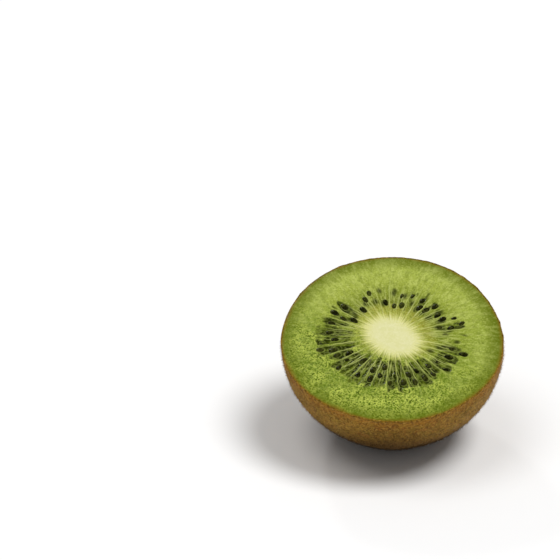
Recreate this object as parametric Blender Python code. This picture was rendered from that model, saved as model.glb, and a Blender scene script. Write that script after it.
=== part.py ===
"""Kiwi fruit half, cut across and resting tilted on its rounded side.

Blender 4.5, metres, +Z up. The origin is the middle of the small flat spot that it rests on.
The fruit is modelled with its cut face level, at z = 0 of its own axes, and its body below.
The empty `cut_face` then holds it at its real height and tilt.
"""

import math
import random

import bmesh
import bpy
from mathutils import Matrix, Vector

MM = 0.001

# The body, from the cut face down to its blunt end
RIM_RADIUS = 27.0 * MM
BODY_DEPTH = 29.6 * MM
BODY_SQUARENESS = 2.19  # 2 is a true ellipsoid, and more fills out its shoulders
LEAN = Vector((0.6, 3.2)) * MM  # the knife went askew, so the deepest point is off centre
RIM_ROUNDING = 0.3 * MM
BODY_RINGS = 16
LAST_BODY_RING = math.radians(71)
END_RINGS_FROM = 13.0 * MM  # inside this the body's rings close in on the scar
# Each kind of lobe in the uneven outline: how many of them, their size and where one is highest
LOBES = ((2, 0.003, 1.0), (3, 0.007, -0.57), (5, 0.005, -0.24))

# The scar at the blunt end: a low collar round a sunken ring, with a woody button inside
SCAR_PLACE = Vector((0.8, 5.2)) * MM  # off the cut's middle, seen square on
SCAR_RADIUS = 3.4 * MM
SCAR_COLLAR = 0.40 * MM
SCAR_MOAT = 0.35 * MM
SCAR_BUTTON = 0.30 * MM
SCAR_RINGS = tuple(radius * MM for radius in (5.2, 4.3, 3.4, 2.6, 1.8, 0.9))

# How it lies on the table
TILT = math.radians(17.7)
FACE_CENTRE = Vector((-0.56, -2.58, 28.2)) * MM

# What the cut shows, as shares of the rim's radius where no unit is given
CORE_SHARE = 0.27
CORE_OVAL = 0.12
CORE_OVAL_TURN = math.radians(140)  # where it is widest
CORE_STANDS_PROUD = 0.12 * MM
CORE_DEPTH = 24.0 * MM
CORE_GAP = 0.3 * MM
CORE_RINGS = (0.25, 0.5, 0.72, 0.9, 0.985)  # as shares of its depth
FACE_CROWN = 0.25 * MM
LOCULES = 34
LOCULE_START = 0.31
LOCULE_REACH = (0.62, 0.71)
LOCULE_SINK = 0.35 * MM
WALL_WANDER = 0.16  # of the even spacing between two walls
STEPS_PER_LOCULE = 4
FACE_RINGS = (0.36, 0.43, 0.50, 0.57, 0.64, 0.71, 0.82, 0.93)

# The seeds that the cut meets
SEED_HALF_SIZE = Vector((1.18, 0.74, 0.55)) * MM
SEED_SINK = 0.08 * MM
SEED_START = (0.36, 0.58)
SEED_STEP = (2.2 * MM, 3.2 * MM)
SEED_COUNT_WEIGHTS = (2, 5, 5, 2)  # for locules that show 0, 1, 2 and 3 seeds
SEED_SIDE = 0.15  # of its locule's width, off the middle line
SEED_TURN = 0.25  # in radians, either way from pointing straight out
SEED_SIZES = (0.85, 1.1)
SEED_CLEARANCE = 0.8  # of its half length, kept free at its locule's outer end
SEED_TAPER = 0.2  # its end by the core is this much narrower than its middle
LAYOUT_SEED = 388137

# Each finish: its name, its colour and its roughness
FLESH = ("flesh", "#96A54B", 0.45)
SKIN = ("skin", "#765C32", 0.85)
SEED = ("seed", "#1E1A0E", 0.30)
CORE = ("core", "#E1DFA6", 0.40)


def plan_cut():
    """The locules as (first wall, second wall, reach), the seeds as (radius, angle, turn, size)."""
    draw = random.Random(LAYOUT_SEED)
    pitch = 2 * math.pi / LOCULES
    walls = [pitch * (i + draw.uniform(-WALL_WANDER, WALL_WANDER)) for i in range(LOCULES)]
    walls.append(walls[0] + 2 * math.pi)
    locules, seeds = [], []
    for first, second in zip(walls, walls[1:]):
        reach = RIM_RADIUS * draw.uniform(*LOCULE_REACH)
        locules.append((first, second, reach))
        side = draw.choice((-1, 1))
        radius = RIM_RADIUS * draw.uniform(*SEED_START)
        for _ in range(draw.choices((0, 1, 2, 3), SEED_COUNT_WEIGHTS)[0]):
            angle = (first + second) / 2 + side * SEED_SIDE * (second - first)
            turn = angle + draw.uniform(-SEED_TURN, SEED_TURN)
            size = draw.uniform(*SEED_SIZES)
            if radius < reach - SEED_CLEARANCE * SEED_HALF_SIZE.x:
                seeds.append((radius, angle, turn, size))
            radius += draw.uniform(*SEED_STEP)
            side = -side
    return locules, seeds


def smooth(value, low, high):
    """0 below low, 1 above high and an even curve between them."""
    share = min(1.0, max(0.0, (value - low) / (high - low)))
    return share * share * (3 - 2 * share)


def lobed(angle):
    """How far the outline lies in or out of true at this angle, as a factor."""
    return 1 + sum(size * math.cos(count * (angle - peak)) for count, size, peak in LOBES)


def polar(radius, angle, height, centre=(0.0, 0.0)):
    return Vector((centre[0] + radius * math.cos(angle), centre[1] + radius * math.sin(angle), height))


def face_height(radius, across, reach):
    """Height of the cut face. Across runs from -1 to 1 between a locule's two walls."""
    crown = FACE_CROWN * (1 - (radius / RIM_RADIUS) ** 4)
    start = LOCULE_START * RIM_RADIUS
    open_here = smooth(radius, start, start * 1.35) * (1 - smooth(radius, reach * 0.88, reach))
    return crown - LOCULE_SINK * open_here * (1 - across * across)


def core_radius(angle, depth):
    """The core narrows from the cut to a blunt tip at CORE_DEPTH."""
    oval = 1 + CORE_OVAL * math.cos(2 * (angle - CORE_OVAL_TURN))
    widest = RIM_RADIUS * CORE_SHARE * oval
    return widest * (1 - (depth / CORE_DEPTH) ** 2.6) ** 0.5


def core_centre(depth):
    """The core runs straight from the middle of the cut towards the scar."""
    return SCAR_PLACE * (depth / BODY_DEPTH)


def scar_relief(radius):
    """How far the scar stands out from the body's smooth end, at this distance from its middle."""
    collar = SCAR_COLLAR * math.exp(-(((radius - SCAR_RADIUS) / (0.75 * MM)) ** 2))
    moat = SCAR_MOAT * math.exp(-(((radius - 0.62 * SCAR_RADIUS) / (0.7 * MM)) ** 2))
    button = SCAR_BUTTON * (1 - smooth(radius, 0.3 * SCAR_RADIUS, 0.6 * SCAR_RADIUS))
    return collar - moat + button


def body_centre(depth):
    return LEAN * (depth / BODY_DEPTH)


def body_radii():
    """The radii of the body's rings, from just under the rim to the inside of the scar."""
    first = math.asin((RIM_ROUNDING / BODY_DEPTH) ** (BODY_SQUARENESS / 2))
    radii = []
    for k in range(BODY_RINGS):
        turn = first + (LAST_BODY_RING - first) * k / (BODY_RINGS - 1)
        radii.append(RIM_RADIUS * math.cos(turn) ** (2 / BODY_SQUARENESS))
    return [*radii, *SCAR_RINGS]


def body_point(radius, angle):
    """The point of the body's outside on the ring of this radius, at this angle round it."""
    inwards = 1 - smooth(radius, SCAR_RINGS[0], END_RINGS_FROM)
    unevenness = 1 + (lobed(angle) - 1) * (1 - inwards)
    ring = Vector((math.cos(angle), math.sin(angle))) * radius * unevenness
    depth = BODY_DEPTH
    for _ in range(6):  # the ring's centre depends on the depth, and this settles both
        place = body_centre(depth).lerp(SCAR_PLACE, inwards) + ring
        off_centre = (place - body_centre(depth)).length / unevenness
        share = (off_centre / RIM_RADIUS) ** BODY_SQUARENESS
        depth = BODY_DEPTH * (1 - share) ** (1 / BODY_SQUARENESS)
    return Vector((place.x, place.y, -depth - scar_relief(radius)))


def add_ring(bm, points):
    return [bm.verts.new(point) for point in points]


def loft(bm, rings, finish=0):
    """Joins rings of vertices by faces. A ring may have half as many as the one before it."""
    for upper, lower in zip(rings, rings[1:]):
        ratio = len(upper) // len(lower)
        for i, vertex in enumerate(lower):
            after = lower[(i + 1) % len(lower)]
            chain = [upper[(i * ratio + k) % len(upper)] for k in range(ratio, -1, -1)]
            bm.faces.new([vertex, after, *chain]).material_index = finish


def close_ring(bm, ring, tip, finish=0):
    """Closes a ring with triangles to one point."""
    point = bm.verts.new(tip)
    for i, vertex in enumerate(ring):
        bm.faces.new([vertex, ring[(i + 1) % len(ring)], point]).material_index = finish


def face_steps(locules):
    """For each step round the face: its angle, its place across its locule and the locule's reach."""
    steps = []
    for first, second, reach in locules:
        for k in range(STEPS_PER_LOCULE):
            share = k / STEPS_PER_LOCULE
            steps.append((first + share * (second - first), 2 * share - 1, reach))
    return steps


def face_rings(bm, steps):
    """The cut face, from its rim in to the mouth of the core's socket."""
    edge = (RIM_RADIUS - RIM_ROUNDING) / RIM_RADIUS
    rings = []
    for share in (edge, *reversed(FACE_RINGS)):
        radius = share * RIM_RADIUS
        points = [polar(radius * lobed(a), a, face_height(radius, *where)) for a, *where in steps]
        rings.append(add_ring(bm, points))
    mouth = []
    for angle, *where in steps:
        radius = core_radius(angle, 0.0) + CORE_GAP
        mouth.append(polar(radius, angle, face_height(radius, *where)))
    rings.append(add_ring(bm, mouth))
    return rings


def core_rings(bm, angles, shares, gap=0.0):
    """Rings round the core at these shares of its depth, this far outside it."""
    rings = []
    for share in shares:
        depth = share * CORE_DEPTH
        centre = core_centre(depth)
        points = [polar(core_radius(a, depth) + gap, a, -depth, centre) for a in angles]
        rings.append(add_ring(bm, points))
    return rings


def build_flesh(locules):
    """The skin, the flesh and the open locules, all one solid, hollow where the core goes."""
    bm = bmesh.new()
    steps = face_steps(locules)
    angles = [step[0] for step in steps[::2]]

    face = face_rings(bm, steps)
    socket = core_rings(bm, angles, (0.06, *CORE_RINGS), CORE_GAP)
    loft(bm, [*face, *socket])
    socket_end = polar(0, 0, -CORE_DEPTH - CORE_GAP, core_centre(CORE_DEPTH))
    close_ring(bm, socket[-1], socket_end)

    body = [add_ring(bm, [body_point(radius, a) for a in angles]) for radius in body_radii()]
    loft(bm, [face[0], *body], finish=1)
    close_ring(bm, body[-1], body_point(0.0, 0.0), finish=1)
    bmesh.ops.recalc_face_normals(bm, faces=bm.faces)
    cut_rest_spot(bm)
    return object_from(bm, "flesh", [material(*FLESH), material(*SKIN)])


def cut_rest_spot(bm):
    """Flattens the body where it stands on the table, which is the plane z = 0 of the world."""
    from_world = placing().inverted()
    table, up = from_world @ Vector((0, 0, 0)), from_world.to_3x3() @ Vector((0, 0, 1))
    everything = bm.verts[:] + bm.edges[:] + bm.faces[:]
    found = bmesh.ops.bisect_plane(
        bm, geom=everything, dist=1e-7, plane_co=table, plane_no=up, clear_inner=True
    )
    rim = [item for item in found["geom_cut"] if isinstance(item, bmesh.types.BMEdge)]
    spot = bmesh.ops.contextual_create(bm, geom=rim)["faces"][0]
    spot.material_index = 1
    bmesh.ops.recalc_face_normals(bm, faces=bm.faces)


def build_core(locules):
    """The pale core, which runs down through the fruit."""
    bm = bmesh.new()
    angles = [step[0] for step in face_steps(locules)[::2]]
    top = FACE_CROWN + CORE_STANDS_PROUD
    cap = []
    for share in (0.5, 0.93):
        height = top - CORE_STANDS_PROUD * share**4
        cap.append(add_ring(bm, [polar(core_radius(a, 0.0) * share, a, height) for a in angles]))
    rings = cap + core_rings(bm, angles, (0.0, *CORE_RINGS))
    loft(bm, rings)
    close_ring(bm, rings[0], (0, 0, top))
    close_ring(bm, rings[-1], polar(0, 0, -CORE_DEPTH, core_centre(CORE_DEPTH)))
    bmesh.ops.recalc_face_normals(bm, faces=bm.faces)
    return object_from(bm, "core", [material(*CORE)])


def place_in_locule(angle, locules):
    """(place across, reach) of the locule at this angle."""
    for first, second, reach in locules:
        turned = (angle - first) % (2 * math.pi)
        if turned < second - first:
            return 2 * turned / (second - first) - 1, reach
    raise ValueError("the locules go all the way round")


def build_seed(seed, locules, finish):
    """One seed, with its long way pointing out from the core."""
    radius, angle, turn, size = seed
    bm = bmesh.new()
    bmesh.ops.create_uvsphere(bm, u_segments=6, v_segments=4, radius=1.0)
    for vertex in bm.verts:
        vertex.co.y *= 1 + SEED_TAPER * vertex.co.x
    height = face_height(radius, *place_in_locule(angle, locules)) - SEED_SINK
    scale = Matrix.Diagonal((*(SEED_HALF_SIZE * size), 1))
    place = Matrix.Translation(polar(radius, angle, height)) @ Matrix.Rotation(turn, 4, "Z")
    bmesh.ops.transform(bm, matrix=place @ scale, verts=bm.verts)
    return object_from(bm, "seed", [finish])


def fuse_seeds(flesh, seeds, locules):
    """Makes the seeds one solid with the flesh, by one union on their collection."""
    seed_collection = bpy.data.collections.new("seeds")
    bpy.context.scene.collection.children.link(seed_collection)
    finish = material(*SEED)
    for seed in seeds:
        obj = build_seed(seed, locules, finish)
        bpy.context.scene.collection.objects.unlink(obj)
        seed_collection.objects.link(obj)
    union = flesh.modifiers.new("seeds", "BOOLEAN")
    union.operation = "UNION"
    union.solver = "EXACT"
    union.material_mode = "TRANSFER"
    union.operand_type = "COLLECTION"
    union.collection = seed_collection
    bpy.context.view_layer.objects.active = flesh
    bpy.ops.object.modifier_apply(modifier=union.name)
    for obj in list(seed_collection.objects):
        bpy.data.objects.remove(obj)
    bpy.data.collections.remove(seed_collection)


def linear(colour):
    """The linear values of an sRGB hex colour."""
    shares = [int(colour[i : i + 2], 16) / 255 for i in (1, 3, 5)]
    return [s / 12.92 if s <= 0.04045 else ((s + 0.055) / 1.055) ** 2.4 for s in shares]


def material(name, colour, roughness):
    made = bpy.data.materials.new(name)
    made.use_nodes = True
    shader = made.node_tree.nodes["Principled BSDF"]
    shader.inputs["Base Color"].default_value = (*linear(colour), 1)
    shader.inputs["Roughness"].default_value = roughness
    return made


def object_from(bm, name, materials):
    """An object with this mesh, shaded smooth but for its sharp edges."""
    mesh = bpy.data.meshes.new(name)
    bm.to_mesh(mesh)
    bm.free()
    mesh.shade_smooth()
    mesh.set_sharp_from_angle(angle=math.radians(50))
    for finish in materials:
        mesh.materials.append(finish)
    obj = bpy.data.objects.new(name, mesh)
    bpy.context.scene.collection.objects.link(obj)
    return obj


def placing():
    """From the fruit's own axes, with the cut level, to how it lies on the table."""
    return Matrix.Translation(FACE_CENTRE) @ Matrix.Rotation(TILT, 4, "X")


def main():
    for obj in list(bpy.data.objects):
        bpy.data.objects.remove(obj)
    locules, seeds = plan_cut()
    flesh = build_flesh(locules)
    fuse_seeds(flesh, seeds, locules)
    core = build_core(locules)

    cut_face = bpy.data.objects.new("cut_face", None)
    bpy.context.scene.collection.objects.link(cut_face)
    cut_face.location = FACE_CENTRE
    cut_face.rotation_euler = (TILT, 0, 0)
    for piece in (flesh, core):
        piece.parent = cut_face


main()
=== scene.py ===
"""The looks of the kiwi fruit half: its wet cut face, thin skin, seeds, hairs and scar.

Metres, +Z up. Everything is shaped in the fruit's own axes, where the cut face is level at z = 0
and the body lies below it, and `lay_down` then puts it where the half really lies.
"""

import math
import random

import bpy
import numpy as np
from mathutils import Matrix, Vector, noise


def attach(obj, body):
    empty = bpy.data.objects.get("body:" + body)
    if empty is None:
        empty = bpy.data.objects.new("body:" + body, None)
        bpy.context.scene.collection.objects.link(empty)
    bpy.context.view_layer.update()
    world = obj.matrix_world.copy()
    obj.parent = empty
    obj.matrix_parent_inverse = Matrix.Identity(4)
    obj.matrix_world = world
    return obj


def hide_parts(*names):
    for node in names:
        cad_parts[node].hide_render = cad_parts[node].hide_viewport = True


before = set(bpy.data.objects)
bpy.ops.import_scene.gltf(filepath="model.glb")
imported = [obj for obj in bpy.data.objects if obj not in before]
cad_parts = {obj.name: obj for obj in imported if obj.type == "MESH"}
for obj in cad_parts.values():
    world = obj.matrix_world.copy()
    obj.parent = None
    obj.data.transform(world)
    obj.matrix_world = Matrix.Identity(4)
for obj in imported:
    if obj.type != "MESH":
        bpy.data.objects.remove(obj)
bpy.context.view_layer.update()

MM = 0.001

# The fruit's own shape, as it was cut
RIM_RADIUS = 27.0 * MM
BODY_DEPTH = 29.6 * MM
BODY_SQUARENESS = 2.19  # the power of its rounded profile, which is 2 for an ellipse
LEAN = np.array((0.6, 3.2)) * MM
LOBES = ((2, 0.003, 1.0), (3, 0.007, -0.57), (5, 0.005, -0.24))  # number, size and first peak
SCAR_PLACE = np.array((0.8, 5.2)) * MM
SCAR_RADIUS = 3.4 * MM
SCAR_BLEND = (5.2 * MM, 13.0 * MM)
SCAR_COLLAR = 0.40 * MM
SCAR_MOAT = 0.35 * MM
SCAR_BUTTON = 0.30 * MM
TILT = math.radians(17.7)
FACE_CENTRE = Vector((-0.56, -2.58, 28.2)) * MM
SKIN_THICKNESS = 0.28 * MM
RIM_ROUNDING = 0.16 * MM

# The cut face, as shares of the rim's radius where no unit is given
CORE_SHARE = 0.27
CORE_OVAL = 0.12
CORE_OVAL_TURN = math.radians(140)
CORE_FRINGE = ((4, 0.007), (9, 0.008), (17, 0.009), (34, 0.012), (55, 0.014), (89, 0.012))
FACE_CROWN = 0.25 * MM
LOCULES = 34
LOCULE_REACH = (0.62, 0.71)
LOCULE_SINK = 0.35 * MM
WALL_WANDER = 0.16
GEL_START = (0.28, 0.37)
GEL_FULLNESS = (0.19, 0.74)
GEL_CLUMP = 1.6 * MM
GEL_OVAL = 0.05
GEL_OVAL_TURN = math.radians(160)
REACH_WANDER = 0.05
WALL_RAY = {
    "start": (0.27, 0.34),
    "length": (0.28, 0.60),
    "width_mm": (0.09, 0.16),
    "strength": (0.5, 1.0),
}
FINE_RAY = {
    "start": (0.28, 0.45),
    "length": (0.12, 0.38),
    "width_mm": (0.06, 0.12),
    "strength": (0.35, 0.95),
}
FINE_RAY_PLACES = (0.25, 0.5, 0.75)
RAYS_LEFT_OUT = 0.2
RAY_WANDER = 0.08
RAY_BEND = 0.09
RAY_HEIGHT = 0.09 * MM
BUNDLE_RING = (0.74, 0.83)
BUNDLE_MM = (0.35, 0.6)
TORN_AND_SHADED_TOWARDS = (-0.38, -0.92)
# Painted shade: the direction in which the cut face is painted darker
PAINTED_SHADE_TOWARDS = (0.4, -0.9)
SEED_LIP = 0.08 * MM
SEED_HALF_SIZE = Vector((1.18, 0.74, 0.55)) * MM
SEED_SINK = 0.08 * MM
SEED_START = (0.36, 0.58)
SEED_STEP = (2.2 * MM, 3.2 * MM)
SEED_COUNT_WEIGHTS = (2, 5, 5, 2)
SEED_SIDE = 0.15
SEED_TURN = 0.25
SEED_ROLL = 0.3
SEED_NOD = 0.15
SEED_DEEPER_MM = (0.0, 0.0, 0.12, 0.24)
SEED_SIZES = (0.85, 1.1)
SEED_CLEARANCE = 0.8
SEED_TAPER = 0.2
LAYOUT_SEED = 388137

# The skin and its hairs, in plain millimetres where a name ends in MM
SKIN_DENTS = 0.16 * MM
SKIN_RIPPLES = 0.06 * MM
SKIN_WARTS = 0.26 * MM
RAGGED_EDGE = 0.12 * MM
HAIRS = 17000
HAIR_LENGTH_MM = (0.35, 0.85)
HAIR_RADIUS_MM = (0.022, 0.034)
HAIR_ROOT_MM = 0.05
HAIR_JITTER_MM = 0.12
HAIR_LEAN = 0.55
HAIR_LEAST_RISE = 0.25
HAIR_CLEARANCE = 0.1 * MM

# Each random draw's own seed
DRAWS = {"gel": 5, "rays": 6, "core": 7, "buried": 8, "seeds": 9, "hairs": 10, "bundles": 11}

# The camera, from the photograph's frame
PHOTO_SIDE = 560
FACE_PIXEL = (392.2, 337.0)
PIXELS_FOCAL = 2548.0
SENSOR = 36.0
CAMERA_DISTANCE = 0.62
CAMERA_HEIGHT_ANGLE = math.radians(30.0)
CAMERA_NEAR_CLIP = 0.01

# The table and the light that comes from all round
TABLE_SIDE = 6.0
ROOM_LIGHT = 0.25

# How finely the pieces are divided: the rings of the face are closest in the locules
HALVINGS = 3
FACE_SECTORS = 880
FACE_RINGS = ((0.0, 0), (0.26, 12), (0.73, 72), (1.0, 100))  # share of the radius, and ring
FLESH_BODY_RINGS = 12
SKIN_SECTORS = 480
SKIN_INNER_RINGS = 16
SKIN_OUTER_RINGS = 128
SEED_SECTORS = 20
SEED_RINGS = 12


# The camera and the light


def place_camera():
    """Takes the photograph's view, turned so that the face's middle falls on its pixel."""
    data = bpy.data.cameras.new("camera")
    data.sensor_width = SENSOR
    data.lens = PIXELS_FOCAL / PHOTO_SIDE * SENSOR
    data.clip_start = CAMERA_NEAR_CLIP
    camera = bpy.data.objects.new("camera", data)
    bpy.context.scene.collection.objects.link(camera)
    away = Vector((0, -math.cos(CAMERA_HEIGHT_ANGLE), math.sin(CAMERA_HEIGHT_ANGLE)))
    camera.location = FACE_CENTRE + CAMERA_DISTANCE * away
    right = (FACE_PIXEL[0] - PHOTO_SIDE / 2) / PIXELS_FOCAL
    down = (FACE_PIXEL[1] - PHOTO_SIDE / 2) / PIXELS_FOCAL
    pitch, yaw = -CAMERA_HEIGHT_ANGLE, 0.0
    for _ in range(20):  # closes in on the aim that brings the face to its pixel
        turn = Matrix.Rotation(yaw, 3, "Z") @ Matrix.Rotation(pitch + math.pi / 2, 3, "X")
        seen = turn.transposed() @ (FACE_CENTRE - camera.location)
        yaw += right + seen.x / seen.z
        pitch += down - seen.y / seen.z
    camera.rotation_euler = (pitch + math.pi / 2, 0, yaw)
    bpy.context.scene.camera = camera


def far_light(name, towards, strength, spread, mirrored):
    """A far light, even over the whole table. Gloss mirrors it or, where it's diffused, doesn't."""
    data = bpy.data.lights.new(name, "SUN")
    data.energy = strength
    data.angle = math.radians(spread)
    lamp = bpy.data.objects.new(name, data)
    bpy.context.scene.collection.objects.link(lamp)
    lamp.rotation_euler = Vector(towards).to_track_quat("Z", "Y").to_euler()
    lamp.visible_glossy = mirrored


def light_table():
    """A white table under a large soft light on the right, a fill on the left and a small lamp."""
    world = bpy.data.worlds.new("studio")
    bpy.context.scene.world = world
    world.use_nodes = True
    world.node_tree.nodes["Background"].inputs["Color"].default_value = (*linear("#FFFFFF"), 1)
    world.node_tree.nodes["Background"].inputs["Strength"].default_value = ROOM_LIGHT
    world.cycles_visibility.glossy = False
    far_light("main_light", (0.38, -0.08, 0.92), strength=1.95, spread=26, mirrored=False)
    far_light("fill_light", (-0.36, -0.08, 0.93), strength=0.69, spread=34, mirrored=False)
    far_light("small_lamp", (-0.35, 0.75, 0.56), strength=0.25, spread=7, mirrored=True)
    bpy.ops.mesh.primitive_plane_add(size=TABLE_SIDE)
    floor = bpy.context.object
    floor.name = "table_top"
    floor.data.materials.append(painted_board())
    bpy.context.scene.view_settings.view_transform = "Standard"


# The fruit's shape


def plan_cut():
    """Locules as (first wall, second wall, reach), and seeds as (radius, angle, turn, size)."""
    draw = random.Random(LAYOUT_SEED)
    pitch = 2 * math.pi / LOCULES
    walls = [pitch * (i + draw.uniform(-WALL_WANDER, WALL_WANDER)) for i in range(LOCULES)]
    walls.append(walls[0] + 2 * math.pi)
    locules, seeds = [], []
    for first, second in zip(walls, walls[1:]):
        reach = RIM_RADIUS * draw.uniform(*LOCULE_REACH)
        locules.append((first, second, reach))
        side = draw.choice((-1, 1))
        radius = RIM_RADIUS * draw.uniform(*SEED_START)
        for _ in range(draw.choices((0, 1, 2, 3), SEED_COUNT_WEIGHTS)[0]):
            angle = (first + second) / 2 + side * SEED_SIDE * (second - first)
            turn = angle + draw.uniform(-SEED_TURN, SEED_TURN)
            size = draw.uniform(*SEED_SIZES)
            if radius < reach - SEED_CLEARANCE * SEED_HALF_SIZE.x:
                seeds.append((radius, angle, turn, size))
            radius += draw.uniform(*SEED_STEP)
            side = -side
    return locules, seeds


def smooth(value, low, high):
    """0 below low, 1 above high and an even curve between them."""
    share = np.clip((value - low) / (high - low), 0, 1)
    return share * share * (3 - 2 * share)


def lobed(angle):
    """How far the outline lies in or out of true at this angle, as a factor."""
    return 1 + sum(size * np.cos(count * (angle - peak)) for count, size, peak in LOBES)


def scar_relief(radius):
    """How far the scar stands out from the body's smooth end, at this distance from its middle."""
    collar = SCAR_COLLAR * np.exp(-(((radius - SCAR_RADIUS) / (0.75 * MM)) ** 2))
    moat = SCAR_MOAT * np.exp(-(((radius - 0.62 * SCAR_RADIUS) / (0.7 * MM)) ** 2))
    button = SCAR_BUTTON * (1 - smooth(radius, 0.3 * SCAR_RADIUS, 0.6 * SCAR_RADIUS))
    return collar - moat + button


def body_points(turn, angle):
    """Points on the body's outside, from the rim at turn 0 to the end at a quarter turn."""
    radius = RIM_RADIUS * np.clip(np.cos(turn), 0, 1) ** (2 / BODY_SQUARENESS)
    inwards = 1 - smooth(radius, *SCAR_BLEND)
    unevenness = 1 + (lobed(angle) - 1) * (1 - inwards)
    ring = np.stack((np.cos(angle), np.sin(angle)), -1) * (radius * unevenness)[:, None]
    depth = np.full_like(radius, BODY_DEPTH)
    for _ in range(6):  # the ring's centre depends on the depth, and this settles both
        centre = LEAN * (depth / BODY_DEPTH)[:, None]
        place = centre + (SCAR_PLACE - centre) * inwards[:, None] + ring
        off_centre = np.linalg.norm(place - centre, axis=1) / unevenness
        share = np.clip(off_centre / RIM_RADIUS, 0, 1) ** BODY_SQUARENESS
        depth = BODY_DEPTH * (1 - share) ** (1 / BODY_SQUARENESS)
    return np.column_stack((place, -depth - scar_relief(radius)))


def grain(points, size, layers=1):
    """Smooth random unevenness from -1 to 1 at each point, with features of about this size."""
    values = np.zeros(len(points))
    for layer in range(layers):
        scaled = points * (2**layer / size)
        values += [noise.noise(Vector(p)) for p in scaled.tolist()]
    return values / layers


# Modelling


def start_fresh():
    """Deselects everything, because an operator acts on all that is selected."""
    bpy.ops.object.select_all(action="DESELECT")


def put_in_order(piece):
    """Lists the faces in one set order, since those of a new sphere come in another each run."""
    corners = points_of(piece).tolist()
    faces = []
    for face in piece.data.polygons:
        around = list(face.vertices)
        first = around.index(min(around))
        faces.append(around[first:] + around[:first])
    piece.data.clear_geometry()
    piece.data.from_pydata(corners, [], sorted(faces))


def drum_blank(name, sectors, rings):
    """A closed drum of sectors and rings, with each point's ring, from the top, and its angle."""
    start_fresh()
    parts = 2**HALVINGS
    bpy.ops.mesh.primitive_uv_sphere_add(
        segments=sectors // parts, ring_count=rings // parts, radius=1.0
    )
    piece = bpy.context.object
    piece.name = name
    put_in_order(piece)
    points = points_of(piece)
    points[:, 2] = np.arccos(np.clip(points[:, 2], -1, 1)) * rings / math.pi
    widths = np.linalg.norm(points[:, :2], axis=1)
    points[:, :2] /= np.maximum(widths, 0.01)[:, None]  # all but the two poles go out to 1
    set_points(piece, points)
    finer = piece.modifiers.new("finer", "SUBSURF")
    finer.subdivision_type = "SIMPLE"
    finer.levels = finer.render_levels = HALVINGS
    bpy.ops.object.modifier_apply(modifier=finer.name)
    x, y, ring = points_of(piece).T
    return piece, ring, np.arctan2(y, x)


def points_of(piece):
    """The piece's vertices as an array."""
    points = np.empty(len(piece.data.vertices) * 3)
    piece.data.vertices.foreach_get("co", points)
    return points.reshape(-1, 3)


def set_points(piece, points):
    """Moves the piece's vertices to these places."""
    piece.data.vertices.foreach_set("co", points.ravel())
    piece.data.update()


def set_mask(piece, name, values):
    """Keeps a value for each vertex, which the materials read by its name."""
    mask = piece.data.attributes.new(name, "FLOAT", "POINT")
    mask.data.foreach_set("value", np.asarray(values, np.float32))


def set_fibres(piece, share, angle):
    """Keeps each vertex's place in the fruit's fibres, in units of 1 mm across and 2 mm along."""
    across = 26.0  # a unit is 1 mm wide at the rim and narrows with the fibres towards the middle
    along = share * RIM_RADIUS / (2.0 * MM)
    places = np.column_stack((across * np.cos(angle), across * np.sin(angle), along))
    field = piece.data.attributes.new("fibres", "FLOAT_VECTOR", "POINT")
    field.data.foreach_set("vector", places.astype(np.float32).ravel())


def lay_down(piece, floor=0.0):
    """Moves the mesh from the fruit's own axes to where the half lies, flat where it rests."""
    piece.data.transform(Matrix.Translation(FACE_CENTRE) @ Matrix.Rotation(TILT, 4, "X"))
    points = points_of(piece)
    points[:, 2] = np.maximum(points[:, 2], floor)
    set_points(piece, points)


def finish_piece(piece, finish, nodes=()):
    """Gives the piece its material and body, and hides the CAD parts of the nodes it stands for."""
    piece.data.shade_smooth()
    piece.data.materials.clear()
    piece.data.materials.append(finish)
    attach(piece, "root")
    if nodes:
        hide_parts(*nodes)


# The cut face


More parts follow.
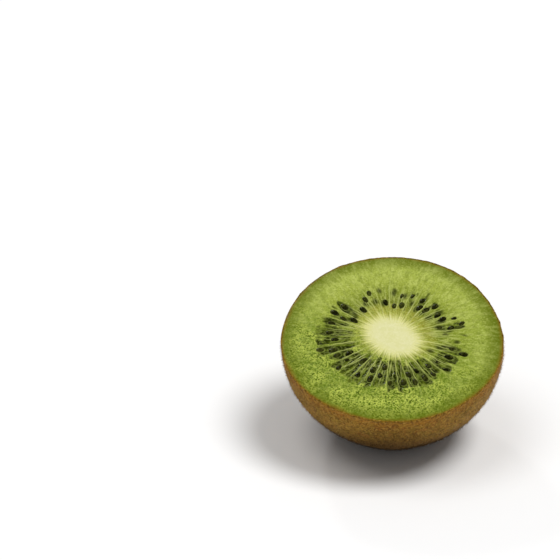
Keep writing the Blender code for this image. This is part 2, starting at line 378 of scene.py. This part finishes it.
class CutFace:
    """What the cut shows at each point: locules full of gel, pale rays, the core and the seeds."""

    def __init__(self, share, angle):
        self.share, self.angle = share, angle % (2 * math.pi)
        radius = share * RIM_RADIUS
        self.x, self.y = radius * np.cos(angle), radius * np.sin(angle)
        self.places = np.column_stack((self.x, self.y, np.zeros_like(self.x)))
        self.oval = CORE_OVAL * np.cos(2 * (self.angle - CORE_OVAL_TURN))
        self.zone = share - CORE_SHARE * self.oval * (1 - smooth(share, 0.3, 0.7))
        self.locules, self.seeds = plan_cut()
        self.spots = self.find_spots(self.seeds, 1.0)
        self.around = self.find_spots(self.seeds, 2.3)
        self.buried = self.find_spots(self.buried_seeds(), 1.0)
        self.gel = self.find_gel()
        self.rays = self.find_rays()
        self.core = self.find_core()
        self.torn_and_shaded = self.find_torn_and_shaded()
        self.painted_shade = self.find_painted_shade()
        self.bundles = self.find_bundles()

    def find_gel(self):
        """1 in the middle of a full locule and 0 on its walls and outside it."""
        draw = random.Random(DRAWS["gel"])
        walls = np.array([first for first, _, _ in self.locules])
        reaches = np.array([reach for _, _, reach in self.locules]) / RIM_RADIUS
        starts = np.array([draw.uniform(*GEL_START) for _ in self.locules])
        fullness = np.array([draw.uniform(*GEL_FULLNESS) for _ in self.locules])
        turned = (self.angle - walls[0]) % (2 * math.pi)
        index = np.searchsorted(walls - walls[0], turned, side="right") - 1
        widths = np.diff(np.append(walls - walls[0], 2 * math.pi))
        across = 2 * (turned - (walls - walls[0])[index]) / widths[index] - 1
        wander = grain(self.places, GEL_CLUMP)
        start = starts[index] + GEL_OVAL * np.cos(2 * (self.angle - GEL_OVAL_TURN))
        reach = reaches[index] + REACH_WANDER * wander
        ends = smooth(self.share, start, start + 0.08)
        ends *= 1 - smooth(self.share, reach - 0.08, reach + 0.02)
        paler = 0.22 * self.x + 0.12 * np.abs(self.x) + 0.74 * self.y
        nearer = -paler / RIM_RADIUS / np.maximum(self.share, 0.1)
        filled = np.clip(fullness[index] + 0.6 * self.around + 0.45 * wander + nearer, 0, 1)
        return ends * (1 - 0.8 * np.abs(across) ** 4) * filled

    def find_rays(self):
        """The thin pale rays that run out from the core, on and between the locules' walls."""
        draw = random.Random(DRAWS["rays"])
        rays = np.zeros_like(self.share)
        for first, second, _ in self.locules:
            for place in (0.0, *FINE_RAY_PLACES):
                on_wall = place == 0.0
                if not on_wall and draw.random() < RAYS_LEFT_OUT:
                    continue
                spans = WALL_RAY if on_wall else FINE_RAY
                wander = draw.uniform(-RAY_WANDER, RAY_WANDER)
                angle = first + (place + wander) * (second - first)
                start = draw.uniform(*spans["start"])
                length = draw.uniform(*spans["length"])
                width = draw.uniform(*spans["width_mm"]) * MM
                bend = draw.uniform(-RAY_BEND, RAY_BEND)
                strength = draw.uniform(*spans["strength"])
                along = (self.share - start) / length
                wiggle = 0.006 * np.sin(self.share * draw.uniform(30, 60) + draw.uniform(0, 6))
                path = angle + bend * np.clip(along, 0, 1.5) ** 2 + wiggle
                off = (self.angle - path + math.pi) % (2 * math.pi) - math.pi
                off_axis = off * self.share * RIM_RADIUS
                taper = smooth(along, -0.06, 0.20) * (1 - smooth(along, 0.5, 1.0))
                rays = np.maximum(rays, strength * taper * np.exp(-((off_axis / width) ** 2)))
        return rays

    def find_core(self):
        """1 in the pale core, with a fringe that runs out along the rays."""
        draw = random.Random(DRAWS["core"])
        edge = CORE_SHARE * (1 + self.oval)
        for count, size in CORE_FRINGE:
            edge = edge + size * np.cos(count * self.angle + draw.uniform(0, 2 * math.pi))
        return 1 - smooth(self.share, edge - 0.070, edge + 0.045)

    def find_torn_and_shaded(self):
        """1 where the knife dragged, leaving grainy flesh partly painted as shade, 0 where it cut
        it smooth.
        """
        towards = (TORN_AND_SHADED_TOWARDS[0] * self.x + TORN_AND_SHADED_TOWARDS[1] * self.y) / RIM_RADIUS
        return smooth(towards + 0.2 * grain(self.places, 6 * MM), -0.38, 0.60)

    def find_painted_shade(self):
        """Painted shade: 0 where it's painted palest, towards the back left, and 1 at the front."""
        towards = (PAINTED_SHADE_TOWARDS[0] * self.x + PAINTED_SHADE_TOWARDS[1] * self.y) / RIM_RADIUS
        return smooth(towards + 0.1 * grain(self.places, 9 * MM), -0.9, 0.8)

    def find_bundles(self):
        """1 in the small dark ends of the fibre bundles, in a ring between locules and skin."""
        draw = random.Random(DRAWS["bundles"])
        bundles = np.zeros_like(self.share)
        for first, second, _ in self.locules:
            angle = first + draw.uniform(0.2, 0.8) * (second - first)
            radius = draw.uniform(*BUNDLE_RING) * RIM_RADIUS
            away = np.hypot(self.x - radius * math.cos(angle), self.y - radius * math.sin(angle))
            dot = np.exp(-((away / (draw.uniform(*BUNDLE_MM) * MM)) ** 2))
            bundles = np.maximum(bundles, draw.uniform(0.2, 1.0) * dot)
        return bundles

    def buried_seeds(self):
        """Seeds that lie just under the gel, between those that the cut meets."""
        draw = random.Random(DRAWS["buried"])
        found = []
        for first, second, reach in self.locules:
            for _ in range(draw.choice((0, 1, 1, 2))):
                radius = draw.uniform(0.38 * RIM_RADIUS, reach - SEED_HALF_SIZE.x)
                angle = first + draw.uniform(0.3, 0.7) * (second - first)
                turn = angle + draw.uniform(-0.3, 0.3)
                found.append((radius, angle, turn, draw.uniform(0.7, 1.0)))
        return found

    def find_spots(self, seeds, spread):
        """1 in the middle of each seed's place, falling towards 0 at this many times its size."""
        spots = np.zeros_like(self.share)
        for radius, angle, turn, size in seeds:
            away_x, away_y = self.x - radius * math.cos(angle), self.y - radius * math.sin(angle)
            long_way = away_x * math.cos(turn) + away_y * math.sin(turn)
            short_way = away_y * math.cos(turn) - away_x * math.sin(turn)
            long_share = long_way / (SEED_HALF_SIZE.x * size * spread)
            short_share = short_way / (SEED_HALF_SIZE.y * size * spread)
            spots = np.maximum(spots, np.exp(-((long_share**2 + short_share**2) ** 1.5)))
        return spots

    def height(self):
        """How high the face lies over the plane of the cut."""
        crown = FACE_CROWN * (1 - self.share**4)
        rounded_rim = RIM_ROUNDING * smooth(self.share, 0.985, 1.0)
        sink = LOCULE_SINK * self.gel * (0.8 + 0.4 * grain(self.places, 0.9 * MM))
        cells = grain(self.places, 0.5 * MM, 2) * (1 - self.core)
        uneven = MM * (0.03 + 0.08 * self.torn_and_shaded) * cells
        rays = RAY_HEIGHT * self.rays
        lip = SEED_LIP * np.exp(-(((self.spots - 0.25) / 0.14) ** 2))
        return crown - sink + uneven + rays + lip - rounded_rim


def make_flesh():
    """The whole inside of the fruit as one closed form, with its cut face in full detail."""
    shares, rings = zip(*FACE_RINGS)
    face_rings = rings[-1]
    piece, ring, angle = drum_blank("flesh_and_core", FACE_SECTORS, face_rings + FLESH_BODY_RINGS)
    share = np.interp(ring, rings, shares)
    on_face = ring < face_rings + 0.5
    inside = 1 - 0.5 * SKIN_THICKNESS / RIM_RADIUS

    cut = CutFace(share, angle)
    radius = share * RIM_RADIUS * lobed(angle) * inside
    face = np.column_stack((radius * np.cos(angle), radius * np.sin(angle), cut.height()))
    turn = np.clip((ring - face_rings) / FLESH_BODY_RINGS, 0, 1) * math.pi / 2
    under_skin = smooth(turn, 0, 0.3)[:, None] * 0.45 * MM / RIM_RADIUS
    body = body_points(turn, angle) * (inside - under_skin)
    body[:, 2] -= RIM_ROUNDING
    set_points(piece, np.where(on_face[:, None], face, body))

    set_fibres(piece, share, angle)
    set_mask(piece, "share", share)
    for name in ("zone", "gel", "rays", "core", "buried", "spots", "torn_and_shaded", "painted_shade", "bundles"):
        set_mask(piece, name, getattr(cut, name))
    lay_down(piece, 0.10 * MM)
    finish_piece(piece, wet_flesh(), ("flesh", "core"))
    return cut


def make_seeds(cut):
    """The seeds that the cut meets: flattened drops, blunt towards the rim."""
    start_fresh()
    bpy.ops.mesh.primitive_uv_sphere_add(segments=SEED_SECTORS, ring_count=SEED_RINGS, radius=1.0)
    model = bpy.context.object
    put_in_order(model)
    points = points_of(model)
    points[:, 1] *= 1 + SEED_TAPER * points[:, 0] - 0.08 * points[:, 0] ** 2
    points[:, 2] *= 1 + 0.10 * points[:, 0]
    set_points(model, points)
    radii, angles, _, _ = (np.array(column) for column in zip(*cut.seeds))
    there = CutFace(radii / RIM_RADIUS, angles)
    heights = FACE_CROWN * (1 - there.share**4) - LOCULE_SINK * there.gel
    draw = random.Random(DRAWS["seeds"])
    places = []
    for (radius, angle, turn, size), height in zip(cut.seeds, heights):
        sink = SEED_SINK + draw.choice(SEED_DEEPER_MM) * MM
        centre = (radius * math.cos(angle), radius * math.sin(angle), height - sink)
        roll = Matrix.Rotation(draw.uniform(-SEED_ROLL, SEED_ROLL), 4, "X")
        nod = Matrix.Rotation(draw.uniform(-SEED_NOD, SEED_NOD), 4, "Y")
        scale = Matrix.Diagonal((*(SEED_HALF_SIZE * size), 1))
        turned = Matrix.Rotation(turn, 4, "Z") @ nod @ roll
        places.append(Matrix.Translation(centre) @ turned @ scale)
    corners = len(model.data.vertices)
    seeds = scattered("seeds", model, places)
    set_mask(seeds, "tone", np.repeat([draw.random() ** 2 for _ in places], corners))
    lay_down(seeds)
    finish_piece(seeds, seed_coat())


def scattered(name, model, places):
    """One mesh that holds a copy of the model at each place, and removes the model."""
    corners = points_of(model)
    corners = np.column_stack((corners, np.ones(len(corners))))
    faces = [tuple(face.vertices) for face in model.data.polygons]
    points = np.vstack([corners @ np.array(place).T[:, :3] for place in places])
    joined = []
    for k in range(len(places)):
        joined += [tuple(corner + k * len(corners) for corner in face) for face in faces]
    mesh = bpy.data.meshes.new(name)
    mesh.from_pydata(points.tolist(), [], joined)
    piece = bpy.data.objects.new(name, mesh)
    bpy.context.scene.collection.objects.link(piece)
    bpy.data.objects.remove(model)
    return piece


# The skin


def painted_table_shade(points):
    """Painted shade: 1 where the skin nears the table, most in front and behind, 0 higher up."""
    return 1 - smooth(points[:, 2] + 0.36 * np.abs(points[:, 0]), 7.5 * MM, 21 * MM)


def make_skin():
    """The thin brown skin, as a shell with its cut edge round the face."""
    rings = SKIN_INNER_RINGS + SKIN_OUTER_RINGS
    piece, ring, angle = drum_blank("skin", SKIN_SECTORS, rings)
    outer = ring > SKIN_INNER_RINGS + 0.5
    down = np.where(
        outer,
        (ring - SKIN_INNER_RINGS - 1) / (SKIN_OUTER_RINGS - 1),
        1 - ring / SKIN_INNER_RINGS,
    )
    turn = np.clip(down, 0, 1) * math.pi / 2
    shaped = body_points(turn, angle)
    shaped *= np.where(outer, 1.0, 1 - SKIN_THICKNESS / RIM_RADIUS)[:, None]
    outwards = shaped / np.linalg.norm(shaped, axis=1)[:, None]
    dents = SKIN_DENTS * grain(shaped, 7 * MM) + SKIN_RIPPLES * grain(shaped, 1.6 * MM, 2)
    under_rim = smooth(-shaped[:, 2], 0.0, 1.5 * MM)
    warts = SKIN_WARTS * np.maximum(grain(shaped, 2.4 * MM), 0) * (1 - under_rim)
    shaped += outwards * ((dents * under_rim + warts) * outer)[:, None]
    ragged = RAGGED_EDGE * grain(shaped * (1, 1, 0), 1.1 * MM, 2) - 0.08 * MM
    shaped[:, 2] += ragged * (1 - under_rim)
    set_points(piece, shaped)
    set_mask(piece, "depth", -shaped[:, 2] / BODY_DEPTH)
    rim = 1 - smooth(-shaped[:, 2], 0.1 * MM, 0.8 * MM)
    set_mask(piece, "rim", rim * (0.5 + 0.5 * smooth(shaped[:, 1] / RIM_RADIUS, -0.3, 0.5)))
    scar_distance = np.linalg.norm(shaped[:, :2] - SCAR_PLACE, axis=1) / SCAR_RADIUS
    at_end = smooth(-shaped[:, 2], 0.8 * BODY_DEPTH, 0.9 * BODY_DEPTH)
    set_mask(piece, "scar", at_end * np.exp(-((scar_distance / 1.25) ** 4)))
    lay_down(piece)
    set_mask(piece, "low", painted_table_shade(points_of(piece)))
    finish_piece(piece, furry_skin(), ("flesh",))
    return piece


def hair_model():
    """One hair, a unit long: a three-sided spike that bends over."""
    start_fresh()
    bpy.ops.mesh.primitive_circle_add(vertices=3, radius=1.0, fill_type="NGON")
    model = bpy.context.object
    bpy.ops.object.mode_set(mode="EDIT")
    bpy.ops.mesh.extrude_region_move(TRANSFORM_OT_translate={"value": (0.12, 0, 0.55)})
    bpy.ops.transform.resize(value=(0.7, 0.7, 1.0))
    bpy.ops.mesh.extrude_region_move(TRANSFORM_OT_translate={"value": (0.42, 0, 0.35)})
    bpy.ops.mesh.merge(type="CENTER")
    bpy.ops.mesh.select_all(action="SELECT")
    bpy.ops.mesh.remove_doubles(threshold=1e-4)
    bpy.ops.mesh.normals_make_consistent(inside=False)
    bpy.ops.object.mode_set(mode="OBJECT")
    return model


def make_hairs(skin):
    """Short stiff hairs all over the skin, each leaning its own way."""
    draw = np.random.default_rng(DRAWS["hairs"])
    faces = skin.data.polygons
    centres, normals, areas = (np.empty(len(faces) * n) for n in (3, 3, 1))
    faces.foreach_get("center", centres)
    faces.foreach_get("normal", normals)
    faces.foreach_get("area", areas)
    centres, normals = centres.reshape(-1, 3), normals.reshape(-1, 3)
    middle = np.array(FACE_CENTRE) + (0, 0, -8 * MM)
    outer = np.einsum("ij,ij->i", normals, centres - middle) > 0
    local = (centres - np.array(FACE_CENTRE)) @ np.array(Matrix.Rotation(TILT, 3, "X"))
    bare = (local[:, 2] > -0.4 * MM) | (centres[:, 2] < 0.15 * MM) | ~outer
    chance = np.where(bare, 0, areas)
    picked = draw.choice(len(faces), HAIRS, p=chance / chance.sum())
    places, depths = [], []
    for place, normal, depth in zip(centres[picked], normals[picked], -local[picked, 2]):
        lean = Vector(draw.normal(0, HAIR_LEAN, 3)) + Vector(normal)
        up = lean.normalized()
        if up.dot(Vector(normal)) < HAIR_LEAST_RISE:
            up = Vector(normal)
        turn = up.to_track_quat("Z", "Y").to_matrix().to_4x4()
        spin = Matrix.Rotation(draw.uniform(0, 2 * math.pi), 4, "Z")
        long = draw.uniform(*HAIR_LENGTH_MM) * MM
        thick = draw.uniform(*HAIR_RADIUS_MM) * MM
        jitter = Vector(draw.normal(0, HAIR_JITTER_MM, 3)) * MM
        jitter -= Vector(normal) * jitter.dot(Vector(normal))
        root = Vector(place) + jitter - Vector(normal) * HAIR_ROOT_MM * MM
        if (root + up * long).z < HAIR_CLEARANCE:
            continue
        scale = Matrix.Diagonal((thick, thick, long, 1))
        places.append(Matrix.Translation(root) @ turn @ spin @ scale)
        depths.append(depth / BODY_DEPTH)
    model = hair_model()
    corners = len(model.data.vertices)
    hairs = scattered("skin_hairs", model, places)
    set_mask(hairs, "depth", np.repeat(depths, corners))
    set_mask(hairs, "tone", np.repeat(draw.random(len(places)), corners))
    set_mask(hairs, "low", painted_table_shade(points_of(hairs)))
    finish_piece(hairs, dry_hair())


# Materials


def linear(colour):
    """The linear values of an sRGB hex colour."""
    shares = [int(colour[i : i + 2], 16) / 255 for i in (1, 3, 5)]
    return [s / 12.92 if s <= 0.04045 else ((s + 0.055) / 1.055) ** 2.4 for s in shares]


def new_finish(name):
    """A new material with its nodes and its shader."""
    finish = bpy.data.materials.new(name)
    finish.use_nodes = True
    return finish, finish.node_tree, finish.node_tree.nodes["Principled BSDF"]


def add(tree, kind, inputs=None, out=0, stops=(), **settings):
    """Adds a node and gives one of its outputs. Inputs are values, hex colours or outputs."""
    node = tree.nodes.new("ShaderNode" + kind)
    for name, value in settings.items():
        setattr(node, name, value)
    for key, value in (inputs or {}).items():
        if isinstance(value, bpy.types.NodeSocket):
            tree.links.new(value, node.inputs[key])
        else:
            plain = (*linear(value), 1) if isinstance(value, str) else value
            node.inputs[key].default_value = plain
    for k, (place, colour) in enumerate(stops):
        stop = node.color_ramp.elements[k] if k < 2 else node.color_ramp.elements.new(place)
        stop.position, stop.color = place, (*linear(colour), 1)
    return node.outputs[out]


def patches(tree, place, scale, low, high, detail=2.0):
    """Random patches: 0 where the noise is under low, 1 where it is over high."""
    cloud = add(tree, "TexNoise", {"Vector": place, "Scale": scale, "Detail": detail})
    return add(tree, "MapRange", {"Value": cloud, "From Min": low, "From Max": high})


def curls(tree, place, scale, width):
    """Thin curled lines, where a random field passes through its middle value."""
    cloud = add(tree, "TexNoise", {"Vector": place, "Scale": scale, "Detail": 1.0})
    above = add(tree, "Math", {0: cloud, 1: 0.5}, operation="SUBTRACT")
    away = add(tree, "Math", {0: above}, operation="ABSOLUTE")
    return add(tree, "MapRange", {"Value": away, "From Min": width, "From Max": 0.3 * width})


def layered(tree, colour, layers):
    """Lays paints over a colour one by one. Each has where it lies, its weight and its hue."""
    for where, weight, paint in layers:
        amount = add(tree, "Math", {0: where, 1: weight}, operation="MULTIPLY")
        colour = add(tree, "Mix", {0: amount, 6: colour, 7: paint}, out=2, data_type="RGBA")
    return colour


def painted_board():
    """White laminated board: even, with hardly any gloss."""
    finish, _, shader = new_finish("white_board")
    shader.inputs["Base Color"].default_value = (*linear("#FCFCFC"), 1)
    shader.inputs["Roughness"].default_value = 0.7
    shader.inputs["Specular IOR Level"].default_value = 0.1
    return finish


def wet_flesh():
    """Cut kiwi flesh: wet, slightly clear green cells, with darker gel in the seed chambers."""
    finish, tree, shader = new_finish("wet_flesh")
    zone, gel, rays, core, buried, spots, torn_and_shaded, painted_shade, bundles = (
        add(tree, "Attribute", out=2, attribute_name=name)
        for name in ("zone", "gel", "rays", "core", "buried", "spots", "torn_and_shaded", "painted_shade", "bundles")
    )
    fibres = add(tree, "Attribute", out=1, attribute_name="fibres")
    place = add(tree, "TexCoord", out=3)

    # Flesh from the core to the skin: olive, then paler, then dark under the skin
    wander = add(tree, "TexNoise", {"Vector": place, "Scale": 1 / (5 * MM), "Detail": 2.0})
    shifted = add(tree, "Math", {0: wander, 1: 0.05, 2: zone}, operation="MULTIPLY_ADD")
    outwards = add(tree, "Math", {0: shifted, 1: 0.025}, operation="SUBTRACT")
    ground = add(
        tree,
        "ValToRGB",
        {"Fac": outwards},
        stops=(
            (0.28, "#BCB84E"),
            (1.0, "#8A9730"),
            (0.34, "#9E9936"),
            (0.42, "#6A711C"),
            (0.56, "#85922E"),
            (0.68, "#A1AE44"),
            (0.82, "#A9B74E"),
        ),
    )
    # Painted shade: the dark band under the skin is painted stronger towards the front
    painted_shade_front = add(tree, "MapRange", {"Value": painted_shade, "To Min": 0.75, "To Max": 1.0})
    under_skin = add(
        tree,
        "MapRange",
        {"Value": outwards, "From Min": 0.84, "From Max": 0.97, "To Max": painted_shade_front},
    )
    at_skin = add(tree, "MapRange", {"Value": outwards, "From Min": 0.965, "From Max": 1.0})

    # Streaks along the fibres where it's cut clean
    clean = add(tree, "MapRange", {"Value": torn_and_shaded, "To Min": 1.0, "To Max": 0.35})
    long_streaks = patches(tree, fibres, 0.40, 0.48, 0.64, 1.0)
    fine_streaks = patches(tree, fibres, 1.0, 0.52, 0.66, 1.0)
    dark_streaks = patches(tree, fibres, 0.9, 0.48, 0.34, 1.0)
    near_core = add(tree, "MapRange", {"Value": zone, "From Min": 0.40, "From Max": 0.31})
    comb_teeth = patches(tree, fibres, 1.1, 0.50, 0.60, 1.0)
    comb = add(tree, "Math", {0: comb_teeth, 1: near_core}, operation="MULTIPLY")
    long_pale = add(tree, "Math", {0: long_streaks, 1: clean}, operation="MULTIPLY")
    fine_pale = add(tree, "Math", {0: fine_streaks, 1: clean}, operation="MULTIPLY")

    # Pale and dark grains of cut cells where it's torn, in clumps. Real cells, about 0.2 mm wide,
    # are too fine to show, so each grain stands for a few of them.
    clumps = patches(tree, place, 1 / (3.5 * MM), 0.38, 0.60)
    grainy = add(tree, "MapRange", {"Value": clumps, "To Min": 0.35, "To Max": 1.0})
    coarse = add(tree, "Math", {0: grainy, 1: torn_and_shaded}, operation="MULTIPLY")
    darker = patches(tree, place, 1 / (1.6 * MM), 0.50, 0.38, 1.0)
    dark_clumps = add(tree, "Math", {0: darker, 1: torn_and_shaded}, operation="MULTIPLY")
    pale_cells = patches(tree, place, 1 / (0.55 * MM), 0.54, 0.62, 1.0)
    dark_cells = patches(tree, place, 1 / (0.70 * MM), 0.48, 0.40, 1.0)
    curled = curls(tree, place, 1 / (0.72 * MM), 0.09)
    pale_grains = add(tree, "Math", {0: pale_cells, 1: coarse}, operation="MULTIPLY")
    dark_grains = add(tree, "Math", {0: dark_cells, 1: coarse}, operation="MULTIPLY")
    pale_curls = add(tree, "Math", {0: curled, 1: coarse}, operation="MULTIPLY")

    # Gel, with sides frayed along the fibres
    fray = add(tree, "TexNoise", {"Vector": fibres, "Scale": 0.85, "Detail": 2.0})
    frayed = add(tree, "Math", {0: fray, 1: 1.2, 2: gel}, operation="MULTIPLY_ADD")
    streaked = add(tree, "MapRange", {"Value": frayed, "From Min": 0.74, "From Max": 1.14})
    inside = add(tree, "MapRange", {"Value": gel, "From Min": 0.05, "From Max": 0.25})
    filled = add(tree, "Math", {0: streaked, 1: inside}, operation="MULTIPLY")
    gel_depths = add(tree, "TexNoise", {"Vector": fibres, "Scale": 0.6, "Detail": 1.0})
    gel_colour = add(
        tree,
        "ValToRGB",
        {"Fac": gel_depths},
        stops=((0.34, "#161D00"), (0.66, "#66741E"), (0.5, "#343F04")),
    )
    colour = layered(
        tree,
        ground,
        (
            # Painted shade: the flesh painted darker towards the front, paler at the back left
            (painted_shade, 0.50, "#7A8E22"),
            # Partly painted shade: the torn flesh's ground painted darker, towards the front left
            (torn_and_shaded, 0.86, "#58740A"),
            (under_skin, 0.85, "#5F6A0E"),
            (long_pale, 0.36, "#BCC866"),
            (fine_pale, 0.40, "#C6D070"),
            (dark_streaks, 0.36, "#6B781A"),
            (comb, 0.46, "#706C12"),
            (patches(tree, place, 1 / (0.42 * MM), 0.52, 0.66, 1.0), 0.36, "#C8D272"),
            (patches(tree, place, 1 / (0.46 * MM), 0.48, 0.34, 1.0), 0.38, "#66741A"),
            (bundles, 0.55, "#66741A"),
            (dark_clumps, 0.55, "#526C06"),
            (dark_grains, 0.92, "#3E5200"),
            (pale_grains, 0.50, "#B0BC4A"),
            (pale_curls, 0.78, "#C8D45E"),
            (under_skin, 0.60, "#5E6E08"),
            (at_skin, 0.75, "#7E6616"),
            (filled, 0.96, gel_colour),
            (buried, 0.80, "#161B02"),
        ),
    )

    # Painted highlights: pale wet glints in the gel and round the seeds; the rays and the core
    outlines = curls(tree, place, 1 / (1.2 * MM), 0.06)
    where = add(tree, "MapRange", {"Value": torn_and_shaded, "To Min": 0.2, "To Max": 1.0})
    within = add(tree, "Math", {0: where, 1: filled}, operation="MULTIPLY")
    painted_gel_glints = add(tree, "Math", {0: outlines, 1: within}, operation="MULTIPLY")
    edge = add(tree, "Math", {0: spots, 1: 0.30, 2: 0.16}, operation="COMPARE")
    ray_colour = add(
        tree,
        "ValToRGB",
        {"Fac": zone},
        stops=((0.27, "#E6E296"), (0.65, "#AEBA60"), (0.42, "#BEC672")),
    )
    even_pith = add(
        tree,
        "ValToRGB",
        {"Fac": zone},
        stops=((0.0, "#E0DEA2"), (0.27, "#DAD984"), (0.14, "#E1DFA6")),
    )
    pith = layered(
        tree,
        even_pith,
        (
            (patches(tree, place, 1 / (1.6 * MM), 0.48, 0.60), 0.30, "#D6D58E"),
            (patches(tree, place, 1 / (0.5 * MM), 0.50, 0.62, 1.0), 0.30, "#ECE9BC"),
        ),
    )
    colour = layered(
        tree,
        colour,
        (
            # Painted highlights: pale curls for the wet glints in the gel
            (painted_gel_glints, 0.34, "#A2AE58"),
            # Painted highlight: a pale ring round each seed, on its wet lip
            (edge, 0.24, "#929C50"),
            (rays, 0.95, ray_colour),
            (core, 1.0, pith),
        ),
    )
    tree.links.new(colour, shader.inputs["Base Color"])

    rough = add(tree, "MapRange", {"Value": gel, "To Min": 0.42, "To Max": 0.20})
    tree.links.new(rough, shader.inputs["Roughness"])
    fine = add(tree, "TexNoise", {"Vector": place, "Scale": 1 / (0.38 * MM), "Detail": 2.0})
    bump = add(tree, "Bump", {"Height": fine, "Strength": 0.6, "Distance": 0.08 * MM})
    tree.links.new(bump, shader.inputs["Normal"])
    shader.inputs["IOR"].default_value = 1.37
    shader.inputs["Specular IOR Level"].default_value = 0.35
    return finish


def seed_coat():
    """Wet seed coat: nearly black brown, smooth and glossy."""
    finish, tree, shader = new_finish("seed_coat")
    place = add(tree, "TexCoord", out=3)
    mottle = add(tree, "TexNoise", {"Vector": place, "Scale": 1 / (0.9 * MM), "Detail": 3.0})
    tone = add(tree, "Attribute", out=2, attribute_name="tone")
    dark = add(tree, "ValToRGB", {"Fac": mottle}, stops=((0.35, "#0E1002"), (0.75, "#262806")))
    film = patches(tree, place, 1 / (0.7 * MM), 0.54, 0.66, 1.0)
    colour = layered(tree, dark, ((tone, 0.8, "#393C10"), (film, 0.5, "#565C22")))
    tree.links.new(colour, shader.inputs["Base Color"])
    rough = add(tree, "MapRange", {"Value": mottle, "To Min": 0.22, "To Max": 0.45})
    tree.links.new(rough, shader.inputs["Roughness"])
    bump = add(tree, "Bump", {"Height": mottle, "Strength": 0.4, "Distance": 0.05 * MM})
    tree.links.new(bump, shader.inputs["Normal"])
    shader.inputs["Specular IOR Level"].default_value = 0.4
    return finish


def furry_skin():
    """Kiwi skin: thin dry leathery brown, mottled and specked."""
    finish, tree, shader = new_finish("furry_skin")
    depth, rim, low, scar = (
        add(tree, "Attribute", out=2, attribute_name=name)
        for name in ("depth", "rim", "low", "scar")
    )
    place = add(tree, "TexCoord", out=3)
    tone = add(tree, "TexNoise", {"Vector": place, "Scale": 1 / (6 * MM), "Detail": 4.0})
    ground = add(
        tree,
        "ValToRGB",
        {"Fac": tone},
        stops=((0.3, "#845F1E"), (0.7, "#A68036"), (0.5, "#947026")),
    )
    uneven = add(tree, "Math", {0: tone, 1: 0.16, 2: depth}, operation="MULTIPLY_ADD")
    near_cut = add(tree, "MapRange", {"Value": uneven, "From Min": 0.23, "From Max": 0.11})
    colour = layered(
        tree,
        ground,
        (
            (patches(tree, place, 1 / (2.0 * MM), 0.50, 0.62), 0.27, "#A05A26"),
            (patches(tree, place, 1 / (1.7 * MM), 0.50, 0.38), 0.29, "#746C1E"),
            (near_cut, 0.62, "#A26C20"),
            (rim, 0.9, "#6C641A"),
            (patches(tree, place, 1 / (0.9 * MM), 0.50, 0.62), 0.6, "#5C4010"),
            (patches(tree, place, 1 / (0.5 * MM), 0.54, 0.64), 0.6, "#46300A"),
            (patches(tree, place, 1 / (0.6 * MM), 0.46, 0.36), 0.6, "#B68E42"),
            # Painted shade: the skin painted darker where it nears the table
            (low, 0.88, "#402600"),
            (scar, 0.7, "#3E2C18"),
        ),
    )
    tree.links.new(colour, shader.inputs["Base Color"])
    shader.inputs["Roughness"].default_value = 0.8
    shader.inputs["Specular IOR Level"].default_value = 0.10
    shader.inputs["Sheen Weight"].default_value = 0.14
    shader.inputs["Sheen Roughness"].default_value = 0.4
    shader.inputs["Sheen Tint"].default_value = (*linear("#D0B890"), 1)
    fine = add(tree, "TexNoise", {"Vector": place, "Scale": 1 / (0.5 * MM), "Detail": 3.0})
    bump = add(tree, "Bump", {"Height": fine, "Strength": 0.7, "Distance": 0.12 * MM})
    tree.links.new(bump, shader.inputs["Normal"])
    return finish


def dry_hair():
    """Dry plant hair: thin, straw brown and a little shiny."""
    finish, tree, shader = new_finish("dry_hair")
    depth, low, tone = (
        add(tree, "Attribute", out=2, attribute_name=name) for name in ("depth", "low", "tone")
    )
    straw = add(tree, "ValToRGB", {"Fac": tone}, stops=((0.1, "#6A4A18"), (0.9, "#BC9656")))
    near_cut = add(tree, "MapRange", {"Value": depth, "From Min": 0.15, "From Max": 0.03})
    # Painted shade: the hairs painted darker where the skin nears the table
    colour = layered(tree, straw, ((near_cut, 0.6, "#A86E24"), (low, 0.92, "#402700")))
    tree.links.new(colour, shader.inputs["Base Color"])
    shader.inputs["Roughness"].default_value = 0.6
    shader.inputs["Specular IOR Level"].default_value = 0.15
    return finish


def main():
    """Builds the scene."""
    place_camera()
    light_table()
    cut = make_flesh()
    make_seeds(cut)
    skin = make_skin()
    make_hairs(skin)


main()
